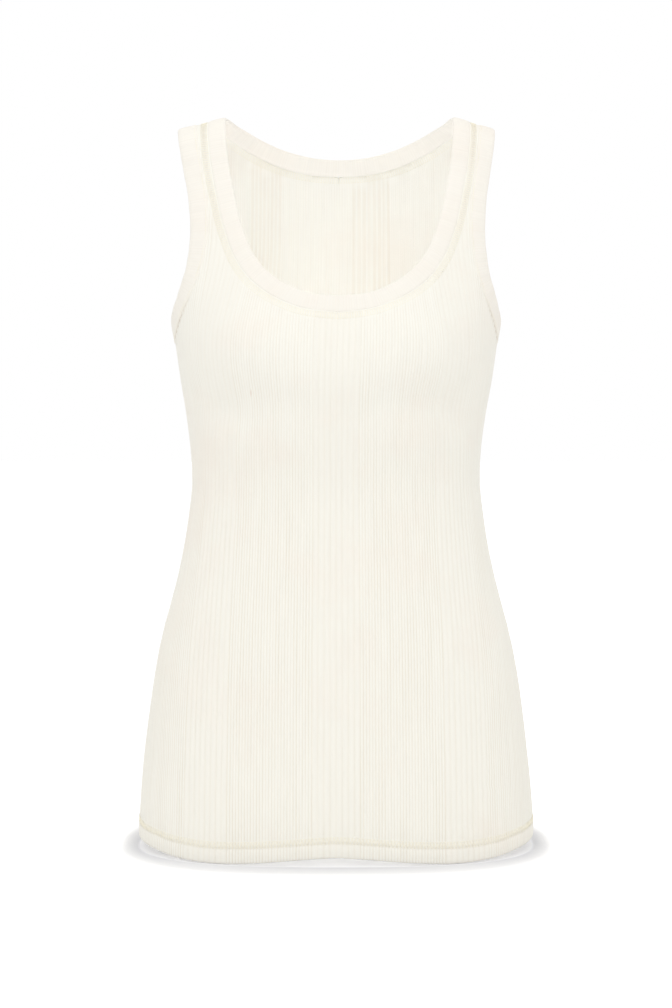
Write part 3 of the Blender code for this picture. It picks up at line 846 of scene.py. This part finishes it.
    grid = np.arange(points.shape[0] * points.shape[1]).reshape(points.shape[:2])
    quads = np.stack((grid[:-1, :-1], grid[:-1, 1:], grid[1:, 1:], grid[1:, :-1]), axis=-1)
    across_neck = np.zeros(quads.shape[:2], bool)
    open_row = near > 0
    across_neck[:, middle - 1] = open_row[:-1] | open_row[1:]
    quads = quads[~across_neck]
    if behind:
        quads = quads[:, ::-1]
    course = np.where(insets[:, None] > 0.5, 2 * HEM_DROP - drops[:, None], drops[:, None]) + np.zeros_like(arc)
    mesh = new_mesh(name, points.reshape(-1, 3), [], quads, wale=kept_wale, course=course, relief_share=firm,
                    crevice=painted_shade_share)
    tidy(mesh)
    cloth_map(mesh)
    return mesh


def tidy(mesh, distance=0.00002):
    """Merge the columns that end together at a seam, and drop what that leaves with no area."""
    work = bmesh.new()
    work.from_mesh(mesh)
    bmesh.ops.remove_doubles(work, verts=work.verts, dist=distance)
    bmesh.ops.dissolve_degenerate(work, edges=work.edges, dist=distance / 2)
    loose = [vert for vert in work.verts if not vert.link_faces]
    bmesh.ops.delete(work, geom=loose, context="VERTS")
    work.to_mesh(mesh)
    work.free()


def cloth_map(mesh):
    """A UV map in metres of cloth: across the wales and along them."""
    corners = np.empty(len(mesh.loops), "i")
    mesh.loops.foreach_get("vertex_index", corners)
    both = []
    for label in ("wale", "course"):
        values = np.empty(len(mesh.vertices), "f")
        mesh.attributes[label].data.foreach_get("value", values)
        both.append(values[corners])
    mesh.uv_layers.new(name="cloth").uv.foreach_set("vector", np.stack(both, axis=1).ravel())


def make_panel(name, node, behind, neck_points, armhole_points, fleck):
    top = settings()
    colours, cut, knit = top.colours, top.cut, top.knit
    mesh = panel_mesh(name, behind, neck_points, armhole_points)
    material = knitted(name + " cotton rib knit", colours.knit, colours.knit_valley_shade, colours.blush,
                       *PANEL_LOOP, fleck)
    numbers = {"Shift": knit.back_shift if behind else 0.0, "Half Repeat": knit.repeat / 2,
               "Wide Half Width": knit.wide_pitch * knit.wide_ribs, "Wide Pitch": knit.wide_pitch,
               "Fine Pitch": fine_ribs(knit)[1], "Wide Depth": knit.wide_depth, "Fine Depth": knit.fine_depth,
               "Roundness": 0.7, "Unevenness": 0.4, "Wide Valley Shade": 0.4, "Wide Shade": 0.16}
    piece = baked(name, mesh, rib_tree(), numbers, material, cut.cloth_thickness)
    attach(piece, "root")
    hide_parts(node)
    return piece


# Distance across a band from its folded edge, as a share of its width, and height over the figure,
# in metres: down the outer face, round the seam, and back up the inner face to the fold.
BAND_SECTION = ((0.990, -0.0007), (0.965, 0.0001), (0.900, 0.00042), (0.740, 0.00068), (0.500, 0.00084),
                (0.260, 0.00080), (0.090, 0.00045), (0.018, -0.0002), (0.000, -0.0009), (0.018, -0.0016),
                (0.090, -0.0021), (0.260, -0.0023), (0.500, -0.00235), (0.740, -0.0023), (0.900, -0.0021),
                (0.980, -0.0016))
BAND_RELIEF = (0.1, 0.4, 0.9, 1, 1, 1, 0.9, 0.5, 0.2, 0.5, 0.9, 1, 1, 1, 0.8, 0.3)


def band_mesh(name, track, width, pitch, seed):
    """A folded strip's closed shell, swept round its opening; an armhole's starts at the underarm."""
    ribs = round(track.length / pitch)
    run = np.arange(ribs * 4) * track.length / (ribs * 4)
    turn = run / track.length * 2 * math.pi
    ring = []
    for share, height in BAND_SECTION:
        wobble = 0.00012 * np.sin(13 * turn + seed) + 0.0001 * np.sin(29 * turn + 2 * seed)
        spot, out = track.at(run, share * (width + track.extra(run)))
        ring.append(spot + out * (height + wobble)[:, None])
    points = np.stack(ring, axis=1)
    rows, columns = points.shape[:2]
    grid = np.arange(rows * columns).reshape(rows, columns)
    ahead, beside_it = np.roll(grid, -1, axis=0), np.roll(grid, -1, axis=1)
    quads = np.stack((grid, beside_it, np.roll(ahead, -1, axis=1), ahead), axis=-1).reshape(-1, 4)
    wale = np.repeat(run * ribs * pitch / track.length, columns)
    course = np.tile(run_along(points[0]), rows)
    # Painted shade on the armhole band's seam edge near the underarm.
    painted_seam_shade = np.zeros(points.shape[:2])
    if track.inward < 0:
        painted_seam_shade[:, 0] = 0.7 * ease(-points[:, 0, 2], UNDERARM_TOP, UNDERARM_FOOT)
        painted_seam_shade[:, 1] = 0.3 * painted_seam_shade[:, 0]
    mesh = new_mesh(name, points.reshape(-1, 3), [], quads, wale=wale, course=course,
                    relief_share=np.tile(BAND_RELIEF, rows), crevice=painted_seam_shade)
    cloth_map(mesh)
    work = bmesh.new()
    work.from_mesh(mesh)
    bmesh.ops.recalc_face_normals(work, faces=work.faces)
    work.to_mesh(mesh)
    work.free()
    return mesh


def make_band(name, node, track, width, seed):
    top = settings()
    colours, knit = top.colours, top.knit
    mesh = band_mesh(name, track, width, knit.band_pitch, seed)
    material = knitted(name + " cotton band rib", colours.band, colours.band_valley_shade, colours.blush,
                       *BAND_LOOP, None)
    numbers = {"Half Repeat": 1000.0, "Wide Half Width": 0.0, "Wide Pitch": 1.0, "Fine Pitch": knit.band_pitch,
               "Wide Depth": 0.0, "Fine Depth": knit.band_depth, "Roundness": 0.8, "Unevenness": 0.6,
               "Wide Valley Shade": 1.0, "Wide Shade": 0.0, "Shift": 0.0}
    piece = baked(name, mesh, rib_tree(), numbers, material)
    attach(piece, "root")
    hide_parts(node)
    return piece


def neck_track():
    return Track(FRONT_NECK, BACK_NECK, 1, 1)


def armhole_tracks():
    """The wearer's left and right armholes: a label, a seed and a track for each."""
    return [(label, 3 + side, Track(FRONT_ARMHOLE, BACK_ARMHOLE, -1, side))
            for label, side in (("left", 1), ("right", -1))]


# ---- stitching ------------------------------------------------------------------------------------------------

def seam_mesh(name, lines):
    """Seam lines as loose edges; lines are (points, outward directions, closed)."""
    points, edges, outs = [], [], []
    for spots, out, closed in lines:
        start = len(points)
        points += [tuple(spot) for spot in spots]
        outs += [tuple(direction) for direction in out]
        edges += [(start + i, start + i + 1) for i in range(len(spots) - 1)]
        if closed:
            edges.append((start + len(spots) - 1, start))
    mesh = new_mesh(name, points, edges, [])
    mesh.attributes.new("out", "FLOAT_VECTOR", "POINT").data.foreach_set("vector", np.ravel(outs).astype("f"))
    return mesh


def joined(name, pieces):
    """One object from several, with their materials kept."""
    with bpy.context.temp_override(active_object=pieces[0], selected_editable_objects=pieces,
                                   selected_objects=pieces, object=pieces[0]):
        bpy.ops.object.join()
    pieces[0].name = pieces[0].data.name = name
    return pieces[0]


def stitched(name, groups, material):
    """One piece of stitching from groups of seam lines, each with its own stitch sizes."""
    tree = stitch_tree()
    parts = [baked(f"{name}_{i}", seam_mesh(name, lines), tree, numbers, material)
             for i, (lines, numbers) in enumerate(groups)]
    piece = joined(name, parts)
    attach(piece, "root")
    return piece


def needle_line(sewing):
    return {"Stitch Length": sewing.stitch_length, "Bead Length": sewing.stitch_length * 0.86,
            "Thread": sewing.thread, "Flatness": 0.7, "Slant": 0.0}


def cover_threads(sewing, pitch, gap, slant=math.pi / 2):
    """Looper threads that cross from one needle line to the other; at a right angle they make a ladder."""
    return {"Stitch Length": pitch, "Bead Length": gap / math.sin(slant) + sewing.thread,
            "Thread": sewing.thread, "Flatness": 0.8, "Slant": slant}


def beside_line(track, distance, lift=0.0):
    run = np.linspace(0.0, track.length, round(track.length / 0.002), endpoint=False)
    spots, out = track.at(run, distance + track.extra(run))
    return spots + out * lift, out, True


def hem_line(height, behind):
    """A line along a panel's cloth at a height above the hem's fold, from side seam to side seam."""
    angles = SIDE * crowded(240)
    drops = np.full_like(angles, HEM_DROP - height)
    spots, out = hung_and_out(angles, drops, behind)
    arc, to_side = arc_to(angles, drops, behind)
    halves = []
    for hand in (-1, 1):
        lift = raised(arc * hand, level_of(drops), to_side, behind) + hem_lift(arc * hand, height)
        halves.append(((spots + out * lift[:, None]) * (hand, 1, 1), out * (hand, 1, 1)))
    return (*[np.concatenate((one[:0:-1], other)) for one, other in zip(*halves)], False)


def floor_mesh():
    """A wide disc whose rings follow the hem, with how much painted contact shadow and how much painted glow under the
    top each ring gets.
    """
    front, back = (hung(SIDE * crowded(33), HEM_DROP, behind)[:, :2] for behind in (False, True))
    right = np.concatenate((front, back[-2::-1]))
    outline = np.concatenate((right, (right * (-1, 1))[-2:0:-1]))
    steps = np.linspace(0.0, 1.0, 25)
    # Each ring's width and depth as shares of the hem's; the last two are plain circles.
    spots = [outline * (0.80, 0.60)] + [outline * (0.94 + 0.18 * step, 0.78 + 0.66 * step) for step in steps]
    spots += [unit(outline) * radius for radius in (6.0, 60.0)]
    # Painted contact shadow: full just inside the hem, fading out past it.
    near = [1.0, *(1 - ease(steps, 0.25, 1.0)), 0.0, 0.0]
    # Painted light: the floor glows under the top, fading out just past the hem.
    under = [1.0, *(1 - ease(steps, 0.27, 0.39)), 0.0, 0.0]
    count = len(outline)
    points = [(x, y, CAD_BOX[0][2] - FLOOR_GAP) for ring in spots for x, y in ring]
    faces = [tuple(range(count))]
    faces += [(r * count + i, (r + 1) * count + i, (r + 1) * count + (i + 1) % count, r * count + (i + 1) % count)
              for r in range(len(spots) - 1) for i in range(count)]
    # Seen from in front and from behind the hem's arch lets one look farther in under the top, so the painted glow
    # there is stronger.
    arch = 0.5 + 0.5 * (np.abs(outline[:, 1]) / np.abs(outline[:, 1]).max()) ** 1.5
    return new_mesh("floor", points, [], faces, near_hem=np.repeat(near, count), under=np.outer(under, arch))


# ---- settings -------------------------------------------------------------------------------------------------

def length_setting(name, description, default):
    return FloatProperty(name=name, description=description, default=default, min=0.0, unit="LENGTH", precision=5)


def light_setting(name, description, default, unit="NONE"):
    return FloatProperty(name=name, description=description, default=default, min=0.0, unit=unit)


def colour_setting(name, description, default):
    return StringProperty(name=name, description=description + ", as an sRGB hex value", default=default)


class TankTopCut(PropertyGroup):
    neck_band_width: length_setting("Neck Band Width", "Folded width of the strip round the neck", 0.016)
    armhole_band_width: length_setting("Armhole Band Width", "Folded width of the armhole strips", 0.0165)
    hem_thickness: length_setting("Hem Thickness", "Both plies of the turned-up hem together", 0.0030)
    cloth_thickness: length_setting("Cloth Thickness", "One ply of the panels' rib knit, over its ribs", 0.0013)


class TankTopKnit(PropertyGroup):
    repeat: length_setting("Rib Repeat", "From the middle of one wide-ribbed band to the next", 0.1080)
    back_shift: length_setting("Back Rib Shift", "How far the back's rib pattern lies off the centre line, to the "
                               "wearer's left", 0.0310)
    wide_pitch: length_setting("Wide Rib Pitch", "Spacing of the ribs in a wide-ribbed band", 0.0049)
    wide_ribs: IntProperty(name="Wide Ribs", description="Wide ribs on each side of a band's middle", default=4, min=1)
    fine_pitch: length_setting("Fine Rib Pitch", "Spacing of the ribs between the wide-ribbed bands", 0.00246)
    wide_depth: length_setting("Wide Rib Depth", "Depth of the valleys between wide ribs", 0.00031)
    fine_depth: length_setting("Fine Rib Depth", "Depth of the valleys between fine ribs", 0.00030)
    band_pitch: length_setting("Band Rib Pitch", "Spacing of the ribs across the folded bands", 0.0022)
    band_depth: length_setting("Band Rib Depth", "Depth of the valleys between the bands' ribs", 0.00002)


class TankTopSewing(PropertyGroup):
    stitch_length: length_setting("Stitch Length", "From one needle hole to the next", 0.0026)
    thread: length_setting("Thread Thickness", "Width of a sewn thread where it lies on the cloth", 0.00050)
    ladder_pitch: length_setting("Ladder Pitch", "Between the threads that cross the neck's coverstitch", 0.0021)
    zigzag_pitch: length_setting("Zigzag Pitch", "Between the slanting threads of the hem's coverstitch", 0.0015)
    neck_gap: length_setting("Neck Needle Gap", "Between the two needle lines beside the neck band", 0.0050)


class TankTopColours(PropertyGroup):
    knit: colour_setting("Rib Crest", "Cream of the panels' ribs", "#FCFAF1")
    # Painted shade: the panels' valleys are coloured darker and yellower than their crests.
    knit_valley_shade: colour_setting("Rib Valley", "Cream between the panels' ribs", "#F2ECDE")
    blush: colour_setting("Blush", "Pink tan that the undyed yarn drifts to", "#F9EEE2")
    band: colour_setting("Band Crest", "Cream of the bands", "#FBF7EE")
    # Painted shade: the bands' valleys are coloured a little darker than their crests.
    band_valley_shade: colour_setting("Band Valley", "Cream between the bands' ribs", "#FAF5EB")
    thread: colour_setting("Thread", "Cream of the sewing thread", "#FDF8E7")
    fleck: colour_setting("Fleck", "A fleck of seed husk caught in the yarn", "#E9DACB")
    floor: colour_setting("Floor", "Pale floor", "#FFFFFF")
    # Painted contact shadow: the floor's colour close round the hem.
    floor_painted_shadow: colour_setting("Floor Near Hem", "The floor close round the hem", "#E8E8EB")


class TankTopStage(PropertyGroup):
    camera_distance: length_setting("Camera Distance", "From the side seams' plane to the camera", 1.9)
    camera_drop: length_setting("Camera Drop", "Of the camera below the high shoulder points", 0.2948)
    focal_length: FloatProperty(name="Focal Length", description="In millimetres, on a 36 mm sensor", default=76.4)
    camera_shift: FloatProperty(name="Vertical Shift", description="Share of the picture's height", default=-0.0536)
    sky: light_setting("Sky Strength", "Brightness of the even white surroundings", 0.845)
    key: light_setting("Front Light", "Power of the large soft light in front", 10.6, "POWER")
    fill: light_setting("Fill Power", "Power of the lamp inside the top", 0.35, "POWER")
    # Both floor glows are painted light that only the camera sees: one under the top, one that whitens the floor away
    # from the hem.
    under_glow: light_setting("Under Glow", "Light of the floor under the top", 0.44)
    glow: light_setting("Floor Glow", "Light that the pale floor gives back by itself", 0.30)


class TankTopSettings(PropertyGroup):
    cut: PointerProperty(type=TankTopCut)
    knit: PointerProperty(type=TankTopKnit)
    sewing: PointerProperty(type=TankTopSewing)
    colours: PointerProperty(type=TankTopColours)
    stage: PointerProperty(type=TankTopStage)


# ---- operators ------------------------------------------------------------------------------------------------

class TANKTOP_OT_front_panel(Operator):
    """Knit the front panel, with its hem turned up"""
    bl_idname = "tank_top.front_panel"
    bl_label = "Front Panel"

    def execute(self, context):
        fleck = ((-0.0717, -0.1080, -0.2470), (0.0010, 0.0200, 0.0036), settings().colours.fleck)
        piece = make_panel("front_rib_panel", "front_panel", False, FRONT_NECK, FRONT_ARMHOLE, fleck)
        return {"FINISHED"}


class TANKTOP_OT_back_panel(Operator):
    """Knit the back panel, with its hem turned up"""
    bl_idname = "tank_top.back_panel"
    bl_label = "Back Panel"

    def execute(self, context):
        piece = make_panel("back_rib_panel", "back_panel", True, BACK_NECK, BACK_ARMHOLE, None)
        return {"FINISHED"}


class TANKTOP_OT_neck_band(Operator):
    """Fold the strip that finishes the neck"""
    bl_idname = "tank_top.neck_band"
    bl_label = "Neck Band"

    def execute(self, context):
        make_band("neck_band_fold", "neck_band", neck_track(), settings().cut.neck_band_width, 1)
        return {"FINISHED"}


class TANKTOP_OT_armhole_bands(Operator):
    """Fold the strips that finish the two armholes"""
    bl_idname = "tank_top.armhole_bands"
    bl_label = "Armhole Bands"

    def execute(self, context):
        for label, seed, track in armhole_tracks():
            make_band(label + "_armhole_fold", label + "_armhole_band", track,
                      settings().cut.armhole_band_width, seed)
        return {"FINISHED"}


class TANKTOP_OT_stitching(Operator):
    """Sew the coverstitch beside the bands and round the hem"""
    bl_idname = "tank_top.stitching"
    bl_label = "Stitching"

    def execute(self, context):
        sewing, cut, colours = settings().sewing, settings().cut, settings().colours
        thread = sewing_thread("spun cotton thread", colours.thread)
        neck = neck_track()
        near, gap = cut.neck_band_width + 0.0008, sewing.neck_gap
        inside = -cut.cloth_thickness - 0.0001
        stitched("neck_coverstitch", (
            ([beside_line(neck, near, 0.0), beside_line(neck, near + gap, 0.00015),
              beside_line(neck, near, inside), beside_line(neck, near + gap, inside)], needle_line(sewing)),
            ([beside_line(neck, near + gap / 2, 0.0001), beside_line(neck, near + gap / 2, inside)],
             cover_threads(sewing, sewing.ladder_pitch, gap)),
        ), thread)
        for label, _, arm in armhole_tracks():
            stitched(label + "_armhole_stitch",
                     (([beside_line(arm, cut.armhole_band_width - 0.0022, 0.0005)], needle_line(sewing)),), thread)
        gap = HEM_NEEDLES[1] - HEM_NEEDLES[0]
        lines = [hem_line(height, behind) for height in HEM_NEEDLES for behind in (False, True)]
        crossings = [hem_line(sum(HEM_NEEDLES) / 2, behind) for behind in (False, True)]
        stitched("hem_coverstitch", (
            (lines, needle_line(sewing)),
            (crossings, cover_threads(sewing, sewing.zigzag_pitch, gap,
                                      math.atan2(gap, sewing.zigzag_pitch)))), thread)
        return {"FINISHED"}


class TANKTOP_OT_stage(Operator):
    """Set the pale floor, the soft light and the camera"""
    bl_idname = "tank_top.stage"
    bl_label = "Stage"

    def execute(self, context):
        stage, colours = settings().stage, settings().colours
        mesh = floor_mesh()
        floor = new_object("floor", mesh)
        # Matt white vinyl sweep: lit from all round, so it gives back almost as much light as it gets. Close round the
        # hem it is painted darker as a soft contact shadow, and under the top it glows with painted light that stands
        # for the light real cloth lets through.
        material, tree, shader = new_material("matt white vinyl floor", {
            "Roughness": 1.0, "Specular IOR Level": 0.0, "Emission Color": linear(colours.floor)})
        near_hem, under = (add(tree, "ShaderNodeAttribute", out="Fac", attribute_name=name)
                           for name in ("near_hem", "under"))
        paint = mix(tree, near_hem, linear(colours.floor), linear(colours.floor_painted_shadow), "RGBA")
        tree.links.new(paint, shader.inputs["Base Color"])
        # Only the eye sees the glow, so the light on the top stays that of the sky and the softbox.
        # The glow fades out close round the hem, which deepens the painted contact shadow there.
        away = calc(tree, "SUBTRACT", 1.0, near_hem)
        away = calc(tree, "POWER", away, 4.0)
        glow = calc(tree, "MULTIPLY", away, stage.glow)
        # Painted light: the floor under the top glows.
        glow = calc(tree, "MULTIPLY_ADD", under, stage.under_glow, glow)
        seen = add(tree, "ShaderNodeLightPath", out="Is Camera Ray")
        glow = calc(tree, "MULTIPLY", glow, seen)
        tree.links.new(glow, shader.inputs["Emission Strength"])
        mesh.materials.append(material)

        world = bpy.data.worlds.new("even white surroundings")
        context.scene.world = world
        world.use_nodes = True
        tree = world.node_tree
        ray = add(tree, "ShaderNodeLightPath", out="Is Camera Ray")
        strength = calc(tree, "MULTIPLY_ADD", ray, 1.0 - stage.sky, stage.sky)
        background = tree.nodes["Background"]
        background.inputs["Color"].default_value = (1.0, 1.0, 1.0, 1.0)
        tree.links.new(strength, background.inputs["Strength"])

        # A large softbox high in front lights the chest a little more than the hem. A lamp low inside the top
        # stands in for the light that real cloth lets through.
        lamps = (("softbox", 1.8, 1.0, 180, (-0.06, -1.3, 1.5), (0.0, 0.0, -0.20), stage.key, "#FFFFFF"),
                 ("lamp for the inside", 0.22, 0.12, 140, (0.0, -0.005, -0.48), (0.0, 0.030, -0.10),
                  stage.fill, "#E4EAFC"))
        for label, width, height, spread, place_at, target, power, colour in lamps:
            lamp = bpy.data.lights.new(label, "AREA")
            lamp.energy, lamp.color = power, linear(colour)[:3]
            lamp.shape, lamp.size, lamp.size_y, lamp.spread = "RECTANGLE", width, height, math.radians(spread)
            holder = new_object(label, lamp)
            holder.location = place_at
            holder.rotation_euler = (Vector(target) - Vector(place_at)).to_track_quat("-Z", "Y").to_euler()
            holder.visible_camera = False

        camera = bpy.data.cameras.new("camera")
        camera.lens, camera.sensor_width, camera.shift_y = stage.focal_length, 36.0, stage.camera_shift
        holder = new_object("camera", camera)
        holder.location = (0.0, -stage.camera_distance, -stage.camera_drop)
        holder.rotation_euler = (math.pi / 2, 0.0, 0.0)
        context.scene.camera = holder
        context.scene.view_settings.view_transform = "Standard"
        return {"FINISHED"}


OPERATORS = (TANKTOP_OT_stage, TANKTOP_OT_front_panel, TANKTOP_OT_back_panel, TANKTOP_OT_neck_band,
             TANKTOP_OT_armhole_bands, TANKTOP_OT_stitching)


class TANKTOP_PT_sidebar(Panel):
    bl_idname = "TANKTOP_PT_sidebar"
    bl_label = "Tank Top"
    bl_space_type = "VIEW_3D"
    bl_region_type = "UI"
    bl_category = "Tank Top"

    def draw(self, context):
        for operator in OPERATORS:
            self.layout.operator(operator.bl_idname)
        for group in (settings().cut, settings().knit, settings().sewing, settings().colours, settings().stage):
            box = self.layout.box()
            for name in group.__annotations__:
                box.prop(group, name)


CLASSES = (TankTopCut, TankTopKnit, TankTopSewing, TankTopColours, TankTopStage, TankTopSettings,
           *OPERATORS, TANKTOP_PT_sidebar)


def register():
    for each in CLASSES:
        bpy.utils.register_class(each)
    bpy.types.Scene.tank_top = PointerProperty(type=TankTopSettings)


def unregister():
    del bpy.types.Scene.tank_top
    for each in reversed(CLASSES):
        bpy.utils.unregister_class(each)


def main():
    register()
    for operator in OPERATORS:
        group, name = operator.bl_idname.split(".")
        getattr(getattr(bpy.ops, group), name)()


if __name__ == "__main__":
    main()
